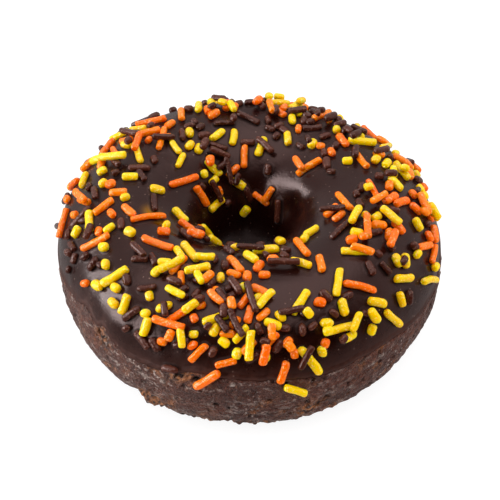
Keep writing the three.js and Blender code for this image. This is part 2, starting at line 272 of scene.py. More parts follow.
TORN_SPOTS = {
    "under the icing at the left": (223.5, 17.4, 3.4, 2.4, 1),
    "under the icing at the front left": (253, 18.6, 6, 1.5, 1),
    "foot at the left front": (241.5, 7, 5, 2.5, 1),
    "foot at the front": (268, 4, 16, 2, 1),
    "beside the pit": (289, 9, 4, 2, 1),
}
PALE_SPOTS = {
    "round crumb": (247, 15.8, 0.9, 0.65, 1),
    "fleck at the front": (267, 18.5, 0.9, 0.4, 1),
    "streak at the right": (308.5, 14.7, 2.4, 0.3, 1),
    "short streak beside it": (312, 15.6, 1.3, 0.25, 1),
    "chip at the right foot": (298.5, 7, 1.5, 0.4, 1),
    "fleck at the left": (231, 13.2, 0.6, 0.3, 1),
    "fleck under the round crumb": (250.5, 12.0, 0.6, 0.35, 1),
    "fleck at the right front": (284, 15.2, 0.6, 0.3, 1),
    "fleck low at the right front": (301, 11.5, 0.5, 0.3, 1),
}
DEEP_PITS = {
    "pit at the right front": (293.5, 10.2, 1.4, 0.9, 2.6),
    "gap below it": (291.4, 8.4, 1.1, 0.7, 1.2),
    "gap in the torn crumb": (221.6, 17.2, 1.1, 0.9, 1.3),
    "second gap in it": (225.4, 16.8, 1.1, 0.8, 1.2),
    "third gap in it": (223.6, 15.0, 1.2, 0.7, 1.0),
    "gap at the left front": (238.5, 8.4, 1.4, 0.9, 0.9),
    "gap at the front": (262.5, 12.6, 1.0, 0.6, 0.7),
    "gap under the icing": (256.5, 18.3, 1.4, 0.7, 0.9),
}
STEEPNESS = 2.2
PALE_CUT = 0.6
PIT_CUT = 0.7

# Fineness of the shown meshes, and of the samples that find the ring's widest line.

DOUGH_COLUMNS = 840
ICING_COLUMNS = 480
ICING_ROWS = 165
HIDDEN_ROWS = 10
HEEL_ROWS = 16
BASE_ROWS = 8
SKIRT_ROWS = 84
SAMPLE_COLUMNS = 720
SAMPLE_ROWS = 15
SAMPLE_PLACES = (-0.25, 0.1)

# Colours in steps of 0 to 255, and the tints of what shines on them.

CRUMB_COLOURS = {
    "deep": (75, 31, 18),
    "light": (104, 54, 37),
    "shade": (36, 12, 5),
    "bran": (146, 98, 74),
    "glaze": (176, 154, 144),
    # torn_gap_shade: painted shade in the gaps of the torn crumb
    "torn_gap_shade": (44, 15, 5),
    "torn_light": (196, 122, 68),
    # pit: near black, painted shade in the pits and gaps
    "pit": (18, 3, 1),
    # sugar: pale spots and flecks; the flecks are partly painted glints
    "sugar": (196, 176, 166),
}
ICING_COLOURS = {
    "deep": (24, 6, 4),
    "light": (31, 9, 6),
    "stain": (104, 58, 14),
    "bleed": (164, 112, 6),
    "thin": (66, 34, 24),
    # contact_shade: near black, painted shade where the icing meets a sprinkle
    "contact_shade": (14, 3, 2),
    "dust": (150, 124, 112),
}
# The pale colour of each sprinkle is painted glint, laid as specks.
SPRINKLE_COLOURS = {
    "yellow": {"dull": (234, 189, 0), "bright": (239, 203, 0), "pale": (250, 230, 156)},
    "orange": {"dull": (240, 102, 0), "bright": (245, 128, 3), "pale": (250, 192, 140)},
    "brown": {"dull": (52, 21, 14), "bright": (74, 36, 26), "pale": (128, 88, 74)},
}
SPRINKLE_SHINE = {"yellow": (1, 0.94, 0.7, 1), "orange": (1, 0.92, 0.7, 1), "brown": (0.75, 0.54, 0.5, 1)}
SPRINKLE_GLOW = {"yellow": 0.7, "orange": 0.7, "brown": 0.0}
SUGAR_TINT = (1.0, 0.91, 0.88, 1.0)
CRUMB_TINT = (1.0, 0.8, 0.76, 1.0)
ICING_TINT = (1.0, 0.66, 0.62, 1.0)

# Clouds in a material: noise as features to a metre, detail and roughness, the limits between which it
# goes from none to full, and where those aren't 0 and 1, what they are.

CRUMB_CLOUDS = {
    "patches": (130, 6, 0.75, 0.4, 0.6),
    "shade": (600, 3, 0.6, 0.56, 0.62),
    "bran": (800, 3, 0.6, 0.6, 0.65),
    "mottling": (1500, 4, 0.8, 0.4, 0.6, 0.7, 1.18),
    "glaze": (1000, 4, 0.65, 0.57, 0.64),
    "open": (800, 3, 0.6, 0.43, 0.57),
    "clusters": (150, 2, 0.55, 0.46, 0.66),
    "specks": (1500, 2, 0.5, 0.6, 0.64),
    "caught": (1700, 2, 0.55, 0.4, 0.5, 0.5, 1.4),
    "roughness": (500, 3, 0.55, 0.35, 0.65, 0.25, 0.65),
}
ICING_CLOUDS = {
    "tone": (90, 3, 0.55, 0.3, 0.7),
    "stain": (260, 2, 0.55, 0.38, 0.66),
    "ragged": (900, 4, 0.7, 0.36, 0.6, 0.4, 1.0),
    "dust": (70, 2, 0.55, 0.35, 0.6),
    "roughness": (160, 3, 0.55, 0.3, 0.7, 0.2, 0.28),
}
SPRINKLE_CLOUDS = {
    # specks: where the sprinkles' painted glints lie.
    "specks": (1900, 2, 0.5, 0.58, 0.68),
    "roughness": (900, 3, 0.55, 0.3, 0.7, 0.05, 0.13),
}

# Bumps from coarse to fine: height in metres, then the noise as features to a metre, detail and roughness.

CRUMB_BUMPS = ((0.0015, 620, 4, 0.7), (0.0012, 1100, 4, 0.7, STREAK_STRETCH), (0.0008, 1700, 3, 0.65))
ICING_BUMPS = ((0.00016, 160, 2, 0.55), (0.000035, 1800, 2, 0.55))
SPRINKLE_BUMPS = ((0.00014, 1100, 2, 0.5), (0.00016, 1900, 2, 0.5))

# How much each colour hides where it is full, and how much rougher dulled icing is. The dots of dust are
# given as dots to a metre, then the solid and the faded radius as shares of a cell.

CRUMB_COVER = {"shade": 0.4, "bran": 0.4, "glaze": 0.8, "torn": 0.95, "sugar": 0.75}
ICING_COVER = {"stain": 0.28, "bleed": 0.9, "dust": 0.5}
GLINT_SPECK_COVER = 0.5
DULLED = {"thin": 0.4, "contact_shade": 0.5}
DUST_DOTS = (620, 0.07, 0.13)

# Camera: it looks down as in the photo, whose sizes in pixels give the lens.

CAMERA_ELEVATION = 46
CAMERA_DISTANCE = 300
CAMERA_AIM = (1.29, 0.02, 14.0)
SENSOR = 36.0
PHOTO_PIXELS = 500
FOCAL_PIXELS = 1337

# Studio, in metres. A fade runs between two values of the y or z part of the direction seen.

LIGHT_AIM = (0, 0, 0.014)
LIGHTS = {
    "left_softbox": {"size": (0.46, 0.27), "place": (-0.466, -0.108, 0.16), "power": 2.4},
    "left_shine": {
        "size": (0.46, 0.27), "place": (-0.467, -0.108, 0.16), "power": 1.8,
        "colour": (0.76, 1, 1.06), "diffuse": False,
    },
    "right_fill": {"size": (0.4, 0.25), "place": (0.44, -0.12, 0.13), "power": 0.95, "glossy": False},
}
ROOM_COLOUR = (1, 0.985, 0.98, 1)
WALL_FADE = (-0.45, -0.05)
WALL_LIGHT = (0.0, 0.93)
PANEL_FADE = (0.76, 0.9)
PANEL_LIGHT = 2.5
FLOOR_FADE = (-0.12, 0.0)
FLOOR_IN_REFLECTIONS = 0.42
FLOOR_GLOW = 0.88
FLOOR_SHADE = 0.2
MIDDLE_SHADE = 0.8
FLOOR_MIDDLE = 0.024
FLOOR_REACH = 3.0
FLOOR_SIDES = 64


# Noise and waves.


def wave(angle, form):
    """A mean plus waves round the ring, at one or more angles in radians."""
    total = form[0] + 0 * angle
    for size, count, peak in form[1:]:
        total = total + size * np.cos(count * (angle - peak * DEG))
    return total


def ripple(points, size, seed):
    """Smooth noise from -1 to 1 at each point, with features of about the size given in mm."""
    flat = points.reshape(-1, 3) / size + seed
    values = [noise.noise(Vector(p)) for p in flat.tolist()]
    return np.array(values).reshape(points.shape[:-1])


def uneven(points, form):
    """A mean plus layers of smooth noise at each point."""
    total = form[0]
    for height, size, seed in form[1:]:
        total = total + height * ripple(points, size, seed)
    return total


def turn_between(a, b):
    """Signed degrees from b to a, both in radians."""
    turn = (a - b) / DEG
    return turn - 360 * np.round(turn / 360)


def hill(across, along):
    """A round hill, 1 at its top, at distances given as shares of its half width and half length."""
    return np.exp(-(across * across + along * along))


def seeded_draw(seed):
    """The part source's random numbers, from 0 to 1."""
    state = seed
    while True:
        state = (state + 0x6D2B79F5) & 0xFFFFFFFF
        mixed = ((state ^ (state >> 15)) * (1 | state)) & 0xFFFFFFFF
        mixed = ((mixed + ((mixed ^ (mixed >> 7)) * (61 | mixed) & 0xFFFFFFFF)) & 0xFFFFFFFF) ^ mixed
        yield (mixed ^ (mixed >> 14)) / 4294967296


# Surface of the ring, by the part source's rule.


def quarter(part, fullness):
    """How far out and how far up a quarter of a rounded outline is, a share of the way round."""
    turn = part * math.pi / 2
    out = np.maximum(np.cos(turn), 0) ** (2 / fullness)
    up = np.maximum(np.sin(turn), 0) ** (2 / fullness)
    return out, up


def plain_section(angle, place):
    """Radius and level of the ring's surface without its swells."""
    outer = wave(angle, OUTER_RADIUS)
    crest = wave(angle, CREST_RADIUS)
    neck = wave(angle, NECK_RADIUS)
    heel = wave(angle, HEEL_RADIUS)
    foot = wave(angle, FOOT_RADIUS)
    top = wave(angle, CREST_LEVEL)
    wrapped = place - 5 * np.floor(place / 5)
    out, up = quarter(np.clip(wrapped, 0, 1), OUTER_TOP_FULLNESS)
    r_outer = crest + (outer - crest) * out
    z_outer = WIDEST_LEVEL + (top - WIDEST_LEVEL) * up
    out, up = quarter(np.clip(2 - wrapped, 0, 1), wave(angle, FUNNEL_FULLNESS))
    r_inner = crest + (neck - crest) * out
    z_inner = NECK_LEVEL + (top - NECK_LEVEL) * up
    out, down = quarter(np.clip(wrapped - 2, 0, 1), HEEL_FULLNESS)
    r_heel = heel + (neck - heel) * out
    z_heel = NECK_LEVEL * (1 - down)
    r_base = heel + (foot - heel) * (wrapped - 3)
    out, down = quarter(np.clip(5 - wrapped, 0, 1), OUTER_BOTTOM_FULLNESS)
    r_skirt = foot + (outer - foot) * out
    z_skirt = WIDEST_LEVEL * (1 - down)
    parts = [wrapped < 1, wrapped < 2, wrapped < 3, wrapped < 4]
    r = np.select(parts, [r_outer, r_inner, r_heel, r_base], r_skirt)
    z = np.select(parts, [z_outer, z_inner, z_heel, 0 * r_base], z_skirt)
    return r, z


def section_normal(angle, place):
    """The way out of the plain section, as how far outwards and how far upwards."""
    reach = 0.02
    r0, z0 = plain_section(angle, place - reach)
    r1, z1 = plain_section(angle, place + reach)
    size = np.hypot(r1 - r0, z1 - z0)
    return (z1 - z0) / size, (r0 - r1) / size


def way_out(angle, place):
    """The way out of the plain section, as an array ending in x, y, z."""
    outward, upward = section_normal(angle, place)
    return np.stack([outward * np.cos(angle), outward * np.sin(angle), upward], axis=-1)


def hills_at(angle, place, hills, least=0):
    """All the hills of a table, above the least value given."""
    wrapped = place - 5 * np.floor(place / 5)
    total = least + 0 * wrapped
    for at, where, wide, long, size in hills.values():
        total = total + size * hill(turn_between(angle, at * DEG) / wide, (wrapped - where) / long)
    return total


def surface(angle, place, raised=0.0):
    """Points of the ring's surface, raised along the section's normal, as an array ending in x, y, z."""
    angle, place, raised = np.broadcast_arrays(angle, place, raised)
    r, z = plain_section(angle, place)
    outward, upward = section_normal(angle, place)
    height = raised + hills_at(angle, place, SWELLS)
    radius = r + outward * height
    return np.stack([radius * np.cos(angle), radius * np.sin(angle), z + upward * height], axis=-1)


def outer_edge_level(angle):
    """Level of the icing's outer edge."""
    notch = hill(turn_between(angle, EDGE_NOTCH["angle"] * DEG) / EDGE_NOTCH["wide"], 0)
    return wave(angle, OUTER_EDGE_LEVEL) + EDGE_NOTCH["height"] * notch


def outer_edge_place(angle):
    """Place of the icing's outer edge."""
    share = (outer_edge_level(angle) - WIDEST_LEVEL) / (wave(angle, CREST_LEVEL) - WIDEST_LEVEL)
    return np.arcsin(np.maximum(share, 0) ** (OUTER_TOP_FULLNESS / 2)) / (math.pi / 2)


def inner_edge_place(angle):
    """Place of the icing's inner edge, low in the hole."""
    share = (wave(angle, INNER_EDGE_LEVEL) - NECK_LEVEL) / (wave(angle, CREST_LEVEL) - NECK_LEVEL)
    return 2 - np.arcsin(share ** (wave(angle, FUNNEL_FULLNESS) / 2)) / (math.pi / 2)


# Sprinkles: where each lies, as the two ends of its axis, by the rule of the part's source.


def lay_bar(kind, angle, place, turn, length, lift):
    """One sprinkle on the surface, sunk a little into the icing."""
    radius = SPRINKLE_KINDS[kind]["radius"]
    step = 0.01
    here, beyond = surface(angle, np.array([place, place + step]))
    per_turn = math.hypot(here[0], here[1])
    per_place = np.linalg.norm(beyond - here) / step
    half = max(length / 2 - radius, SHORTEST_AXIS / 2)
    across = half * math.cos(turn) / per_turn
    along = half * math.sin(turn) / per_place
    raised = radius * (1 - SINK + lift)
    angles = np.array([angle - across, angle, angle + across])
    places = np.array([place - along, place, place + along])
    start, middle, end = surface(angles, places, raised)
    sag = (middle - (start + end) / 2) * SAG_SHARE
    bar = {"kind": kind, "radius": radius, "length": length, "angle": angle, "place": place}
    return {**bar, "start": start + sag, "end": end + sag}


def settle(bar):
    """The bar moved with the fine swell that it lies on."""
    angle, place = bar["angle"], bar["place"]
    move = hills_at(angle, place, FINE_SWELLS) * way_out(angle, place)
    return {**bar, "start": bar["start"] + move, "end": bar["end"] + move}


def closest(bar, others):
    """Least free room between a bar and the others, measured from points along its axis."""
    starts = np.array([other["start"] for other in others])
    ends = np.array([other["end"] for other in others])
    radii = np.array([other["radius"] for other in others])
    axis = ends - starts
    square = (axis * axis).sum(axis=1)
    shares = np.linspace(0, 1, CHECKED_POINTS)[:, None, None]
    points = bar["start"] + (bar["end"] - bar["start"]) * shares
    along = np.clip(((points - starts) * axis).sum(axis=2) / square, 0, 1)
    feet = starts + axis * along[:, :, None]
    return (np.linalg.norm(feet - points, axis=2) - radii - bar["radius"]).min()


def scatter(bars, seed, tries, least, patches, counts, longest):
    """Adds bars among those already laid, by seeded draws, close together where the cover is high."""
    draw = seeded_draw(seed)
    drawn = np.array([next(draw) for _ in range(tries * DRAWS_EACH)]).reshape(tries, DRAWS_EACH)
    turned, inwards, colour, aimed, long, chance, crossing = drawn.T
    angles = 2 * math.pi * turned
    places = outer_edge_place(angles) + OUTER_MARGIN + (INNER_LIMIT - OUTER_MARGIN) * inwards
    here = surface(angles, places)
    stretch = np.hypot(here[:, 0], here[:, 1]) / OUTER_RADIUS[0]
    cover = hills_at(angles, places, patches, least) * stretch
    kept = (places <= INNER_LIMIT) & (chance <= cover)
    names = list(counts)
    left = dict(counts)
    for tried in np.flatnonzero(kept):
        name = names[int(len(names) * colour[tried])]
        if left[name] == 0:
            continue
        shortest = SPRINKLE_KINDS[name]["shortest"]
        length = shortest + (longest[name] - shortest) * long[tried] ** LENGTH_LEAN
        on_top = crossing[tried] < CROSSING_SHARE
        turn = 2 * math.pi * aimed[tried]
        bar = lay_bar(name, angles[tried], places[tried], turn, length, CROSSING_LIFT if on_top else 0)
        room = closest(bar, bars)
        if (room > 0 or room < -bar["radius"]) if on_top else room < CLEARANCE:
            continue
        bars.append(bar)
        left[name] -= 1
        if not any(left.values()):
            break


def lay_all_sprinkles():
    """Those listed one by one, then the scattered ones, then the extra ones at the back."""
    bars = []
    for kind, at, place, turn, length in LAID_SPRINKLES:
        bars.append(lay_bar(kind, at * DEG, place, turn * DEG, length, 0))
    counts = {name: kind["count"] for name, kind in SPRINKLE_KINDS.items()}
    longest = {name: kind["longest"] for name, kind in SPRINKLE_KINDS.items()}
    scatter(bars, SPRINKLE_SEED, SPRINKLE_TRIES, THINNED_COVER, SPRINKLE_PATCHES, counts, longest)
    short = dict.fromkeys(EXTRA_COUNTS, EXTRA_LONGEST)
    scatter(bars, EXTRA_SEED, EXTRA_TRIES, 0, EXTRA_PATCHES, EXTRA_COUNTS, short)
    return [settle(bar) for bar in bars]


# Meshes.


def frame_shift():
    """From the ring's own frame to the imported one, found by the cake ring's middle."""
    angles = np.linspace(0, 2 * math.pi, SAMPLE_COLUMNS, endpoint=False)[:, None]
    places = np.linspace(*SAMPLE_PLACES, SAMPLE_ROWS)[None, :]
    shape = surface(angles, places)
    low, high = shape.reshape(-1, 3).min(axis=0), shape.reshape(-1, 3).max(axis=0)
    packed_low, packed_high = (np.array(corner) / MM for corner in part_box("dough"))
    shift = (packed_low + packed_high - low - high) / 2
    shift[2] = packed_low[2]
    return shift


SHIFT = frame_shift()


def make_object(name, points, faces):
    """A smooth mesh object from points in the ring's own frame."""
    mesh = bpy.data.meshes.new(name)
    mesh.from_pydata(((points + SHIFT) * MM).tolist(), [], faces)
    mesh.update()
    mesh.shade_smooth()
    piece = bpy.data.objects.new(name, mesh)
    bpy.context.scene.collection.objects.link(piece)
    return piece


def ring_faces(columns, rows):
    """Faces of a grid of points that closes on itself both round the ring and round its section."""
    column, row = np.meshgrid(np.arange(columns), np.arange(rows), indexing="ij")
    after, above = (column + 1) % columns, (row + 1) % rows
    quads = [column * rows + row, after * rows + row, after * rows + above, column * rows + above]
    return np.stack(quads, axis=-1).reshape(-1, 4).tolist()


def add_attribute(piece, name, values):
    """A value at each point, for the material to read."""
    layer = piece.data.attributes.new(name, "FLOAT", "POINT")
    layer.data.foreach_set("value", np.asarray(values, dtype=np.float32).ravel())


def spaced(first, last, rows):
    """Row places from first to last at each angle, without the last."""
    shares = np.arange(rows) / rows
    return first[:, None] + (last - first)[:, None] * shares[None, :]


def edge_wander(angle):
    """How far the icing's outer edge strays from its smooth line, in places."""
    rim = np.stack([np.cos(angle), np.sin(angle), 0 * angle], axis=-1) * OUTER_RADIUS[0]
    wander = uneven(rim, EDGE_WANDER)
    for at, wide, size in EDGE_NICKS:
        wander = wander + size * hill(turn_between(angle, at * DEG) / wide, 0)
    return wander


def spots_at(angle, level, spots, steepness=1, cut=0):
    """All the spots of a table: hills that can be made steeper and cut off at the foot."""
    total = 0 * level
    for at, middle, wide, tall, size in spots.values():
        spread = hill(turn_between(angle, at * DEG) / wide, (level - middle) / tall)
        total = total + size * np.clip(steepness * spread - cut, 0, 1)
    return total


def crumb_relief(around, smooth):
    """Height of the crumb at each point of the smooth surface, how much painted shade its pits get, and how
    torn and pale it is.
    """
    level = smooth[..., 2]
    scattered = np.clip(uneven(smooth, SCATTERED_TEARS), 0, 1)
    tears = spots_at(around, level, TORN_SPOTS) * uneven(smooth, TEAR_STRENGTH)
    torn = np.clip(TORN["scattered"] * scattered + tears, 0, 1)
    grain = (GRAIN_HEIGHT + TORN["grain"] * torn) * uneven(smooth, GRAIN)
    pits = PIT_DEPTH * np.maximum(uneven(smooth, SMALL_PITS) + TORN["pits"] * torn, 0)
    gaps = spots_at(around, level, DEEP_PITS, STEEPNESS, PIT_CUT)
    pale = np.minimum(spots_at(around, level, PALE_SPOTS, STEEPNESS, PALE_CUT), 1)
    relief = uneven(smooth, CRAGS) + uneven(smooth * STREAK_SHAPE, STREAKS) + grain - pits - gaps
    relief = relief - TORN["depth"] * torn + PALE_HEIGHT * pale + spots_at(around, level, LUMPS)
    # How much painted shade each pit and gap gets.
    pitted = np.clip(PIT_SHADE * pits + PIT_SHADE * gaps, 0, 1)
    return relief, pitted, torn, pale


def make_dough():
    """The cake ring: hidden under the icing first, then the heel of the hole, the base and the skirt."""
    angle = np.linspace(0, 2 * math.pi, DOUGH_COLUMNS, endpoint=False)
    outer, inner = outer_edge_place(angle) + edge_wander(angle), inner_edge_place(angle)
    hidden = spaced(outer, inner, HIDDEN_ROWS)
    heel = spaced(inner, 0 * angle + 3, HEEL_ROWS)
    base = spaced(0 * angle + 3, 0 * angle + 4, BASE_ROWS)
    skirt = spaced(0 * angle + 4, 5 + outer, SKIRT_ROWS)
    place = np.concatenate([hidden, heel, base, skirt], axis=1)
    around = np.broadcast_to(angle[:, None], place.shape)
    smooth = surface(around, place)
    level = smooth[..., 2]
    covered = np.zeros_like(place)
    covered[:, : HIDDEN_ROWS + 1] = ICING_THICKNESS + GAP
    on_skirt = np.zeros_like(place)
    on_skirt[:, HIDDEN_ROWS + HEEL_ROWS + BASE_ROWS:] = 1
    in_heel = np.zeros_like(place)
    in_heel[:, HIDDEN_ROWS + 1: HIDDEN_ROWS + HEEL_ROWS] = 1
    below = outer_edge_level(angle)[:, None] - level
    step = EDGE_STEP * np.exp(-np.maximum(below, 0) / EDGE_FADE) * on_skirt + EDGE_STEP * in_heel
    groove = uneven(smooth, EDGE_GROOVE) * np.exp(-np.maximum(below, 0) / GROOVE_REACH)
    step = step - groove * on_skirt
    relief, pitted, torn, pale = crumb_relief(around, smooth)
    near_foot = np.clip(level / FOOT_FADE, 0, 1)
    near_icing = np.clip(below / TOP_FADE + TOP_SHARE, TOP_SHARE, 1)
    raised = relief * on_skirt * near_foot * near_icing - step - covered
    raised = raised + hills_at(around, place, FINE_SWELLS)
    points = surface(around, place, raised)
    points[..., 2] = np.maximum(points[..., 2], 0)
    piece = make_object("dough_ring", points.reshape(-1, 3), ring_faces(*place.shape))
    for name, values in {"pit": pitted, "torn": torn, "pale": pale}.items():
        add_attribute(piece, name, values * on_skirt)
    add_attribute(piece, "glaze_and_sheen", wave(around, GLAZE_AND_SHEEN_AROUND))
    return piece


def crease_at(points):
    """Depth of the soft crease left of the hole, and how far the yellow dye has run along it."""
    joints = [surface(np.array(turn * DEG), np.array(place)) for turn, place in CREASE_JOINTS]
    nearest = np.full(points.shape[:-1], np.inf)
    for first, last in zip(joints, joints[1:]):
        axis = last - first
        share = np.clip((points - first) @ axis / (axis @ axis), 0, 1)
        nearest = np.minimum(nearest, np.linalg.norm(points - first - share[..., None] * axis, axis=-1))
    start = np.linalg.norm(points - joints[0], axis=-1)
    dent = CREASE_DEPTH * np.exp(-(nearest / CREASE_WIDTH) ** 2)
    bleed = np.exp(-(start / BLEED_LENGTH) ** 2) * np.exp(-(nearest / BLEED_WIDTH) ** 2)
    return dent, bleed


def wrinkles_at(angle, place):
    """Shallow folds in the icing at the right edge."""
    across = turn_between(angle, WRINKLES["angle"] * DEG)
    spread = hill(across / WRINKLES["wide"], (place - WRINKLES["place"]) / WRINKLES["long"])
    slanted = across * 2 * math.pi / WRINKLES["spacing"] + WRINKLES["slant"] * place
    return WRINKLES["height"] * spread * np.sin(slanted)


def icing_round_sprinkles(outline, bars):
    """At each point of the icing's outside: how far it is drawn up, how stained, and how much painted
    contact shade it gets from a bar close by.
    """
    rise = np.zeros(len(outline))
    stain = np.zeros(len(outline))
    contact_shade = np.zeros(len(outline))
    for bar in bars:
        reach = bar["length"] / 2 + NEARBY
        middle = (bar["start"] + bar["end"]) / 2
        near = np.flatnonzero(np.abs(outline - middle).max(axis=1) < reach)
        axis = bar["end"] - bar["start"]
        offset = outline[near] - bar["start"]
        along = np.clip(offset @ axis / (axis @ axis), 0, 1)
        distance = np.linalg.norm(offset - along[:, None] * axis, axis=1) - bar["radius"]
        if bar["kind"] != "brown":
            stain[near] += STAIN["share"] * np.exp(-np.maximum(distance, 0) / STAIN["reach"])
        if distance.min() < TOUCHING:
            ridge = np.exp(-((distance - DRAWN_UP["middle"]) / DRAWN_UP["width"]) ** 2)
            rise[near] = np.maximum(rise[near], DRAWN_UP["height"] * ridge)
            # Painted contact shade round the bar, fading out within its width.
            beside = np.exp(-(np.maximum(distance - TOUCHING, 0) / CONTACT_SHADE_WIDTH) ** 2)
            contact_shade[near] = np.maximum(contact_shade[near], beside)
    return rise, np.minimum(stain, 1), contact_shade


def make_icing(bars):
    """The icing cap: its outside, the inner lip, the underside and the outer lip."""
    angle = np.linspace(0, 2 * math.pi, ICING_COLUMNS, endpoint=False)
    outer = outer_edge_place(angle) + edge_wander(angle)
    inner = inner_edge_place(angle)
    outside = spaced(outer + LIP_REACH, inner - LIP_REACH, ICING_ROWS)
    lip_inside = np.stack([inner + share * LIP_REACH for share, _ in INNER_LIP], axis=1)
    underside = spaced(inner, outer, HIDDEN_ROWS)
    lip_outside = np.stack([outer + share * LIP_REACH for share, _ in OUTER_LIP], axis=1)
    place = np.concatenate([outside, lip_inside, underside, lip_outside], axis=1)
    around = np.broadcast_to(angle[:, None], place.shape)
    depths = [0.0] * ICING_ROWS + [depth for _, depth in INNER_LIP]
    depths += [1.0] * HIDDEN_ROWS + [depth for _, depth in OUTER_LIP]
    smooth = surface(around, place)
    on_outside = np.zeros_like(place)
    on_outside[:, :ICING_ROWS] = 1
    from_edge = np.maximum(place - outer[:, None], 0)
    thinned = EDGE_STEP * uneven(smooth, EDGE_THINNESS) * np.exp(-from_edge / EDGE_THINNING)
    calm = np.clip(WALL_CALM["start"] - WALL_CALM["per_place"] * place, WALL_CALM["least"], 1)
    dent, bleed = crease_at(smooth)
    raised = (uneven(smooth, ICING_WAVES) * calm - thinned - dent + wrinkles_at(around, place)) * on_outside
    raised = raised + hills_at(around, place, FINE_SWELLS) - ICING_THICKNESS * np.array(depths)
    points = surface(around, place, raised)

    def on_grid(values):
        grid = np.zeros(place.shape)
        grid[:, :ICING_ROWS] = values.reshape(ICING_COLUMNS, ICING_ROWS)
        return grid

    rise, stain, contact_shade = icing_round_sprinkles(points[:, :ICING_ROWS].reshape(-1, 3), bars)
    points = points + way_out(around, place) * on_grid(rise)[..., None]
    piece = make_object("icing_cap", points.reshape(-1, 3), ring_faces(*place.shape))
    add_attribute(piece, "stain", on_grid(stain))
    add_attribute(piece, "contact_shade", on_grid(contact_shade))
    add_attribute(piece, "bleed", bleed * on_outside)
    add_attribute(piece, "thin", np.exp(-from_edge / THIN_REACH))
    return piece


def bar_mesh(bar, pick):
    """One sprinkle: a slightly bent, uneven rod with blunt ends, each closed on one point."""
    start, end, radius = bar["start"], bar["end"], bar["radius"]
    axis = end - start
    length = np.linalg.norm(axis)
    axis = axis / length
    plump = pick.uniform(0, 1) * np.clip((LONG_GRAIN - bar["length"]) / (LONG_GRAIN - SHORT_GRAIN), 0, 1)
    length = length + PLUMP["stretch"] * plump
    outward = (start + end) / 2 * np.array([UPRIGHT_LEAN, UPRIGHT_LEAN, 0]) + np.array([0, 0, 1.0])
    side = np.cross(axis, outward)
    side = side / np.linalg.norm(side)
    upright = np.cross(side, axis)
    blunt = pick.uniform(*BLUNTNESS) - PLUMP["blunter"] * plump
    bend = pick.normal(0, BEND) * length
    slope = pick.normal(0, END_SLOPE, 2)
    thick = radius * (pick.uniform(*GRAIN_THICKNESS) + PLUMP["thicker"] * plump)
    phase = pick.uniform(0, 2 * math.pi, 4)
    along = -np.cos(np.linspace(0, math.pi, SPRINKLE_RINGS))
    span = length / 2 + radius
    position = np.sign(along) * np.abs(along) ** RING_EASE * span
    free = np.maximum(np.abs(position) - length / 2, 0) / radius
    taper = 1 - PLUMP["taper"] * plump * (position / span) ** 2
    width = np.maximum(1 - free ** blunt, 0) ** (1 / blunt) * thick * taper
    around = np.linspace(0, 2 * math.pi, SPRINKLE_SIDES, endpoint=False)

    def centre_at(place):
        return (start + end) / 2 + axis * place + side * bend * (1 - 2 * (place / span) ** 2)

    rows = [centre_at(-span)[None]]
    for place, wide in zip(position[1:-1], width[1:-1]):
        swollen = 1 + OVAL * np.cos(2 * around + phase[0])
        swollen = swollen + WAIST["depth"] * np.sin(WAIST["per_mm"] * place + phase[1])
        swollen = swollen + TWIST["depth"] * np.cos(around + TWIST["per_mm"] * place + phase[2])
        tilt = slope[0] * np.cos(around) + slope[1] * np.sin(around)
        ended = np.clip(np.abs(place) / span, 0, 1) ** END_SHARPNESS
        ring = centre_at(place) + (np.cos(around) * wide * swollen)[:, None] * side
        ring = ring + (np.sin(around) * wide * swollen)[:, None] * upright
        ring = ring + (tilt * wide * ended)[:, None] * axis
        rows.append(ring)
    rows.append(centre_at(span)[None])
    points = np.concatenate(rows)
    last_ring = len(points) - 1 - SPRINKLE_SIDES
    faces = []
    for column in range(SPRINKLE_SIDES):
        after = (column + 1) % SPRINKLE_SIDES
        faces.append((0, 1 + column, 1 + after))
        for first in range(1, last_ring, SPRINKLE_SIDES):
            second = first + SPRINKLE_SIDES
            faces.append((first + column, second + column, second + after, first + after))
        faces.append((last_ring + after, last_ring + column, len(points) - 1))
    return points, faces


def make_sprinkles(kind, bars, seed):
    """All the sprinkles of one colour as one piece, each with a tone of its own."""
    pick = np.random.default_rng(seed)
    points, faces, tones = [], [], []
    count = 0
    for bar in bars:
        if bar["kind"] != kind:
            continue
        more, joined = bar_mesh(bar, pick)
        points.append(more)
        faces.extend(tuple(count + corner for corner in face) for face in joined)
        tones.extend([pick.uniform(0, 1)] * len(more))
        count += len(more)
    piece = make_object("sprinkles_" + kind, np.concatenate(points), faces)
    add_attribute(piece, "tone", tones)
    return piece


# Materials.


def srgb(steps):
    """A colour of 0 to 255 steps as a linear one."""
    linear = []
    for step in steps:
        share = step / 255
        linear.append(share / 12.92 if share <= 0.04045 else ((share + 0.055) / 1.055) ** 2.4)
    return (*linear, 1.0)


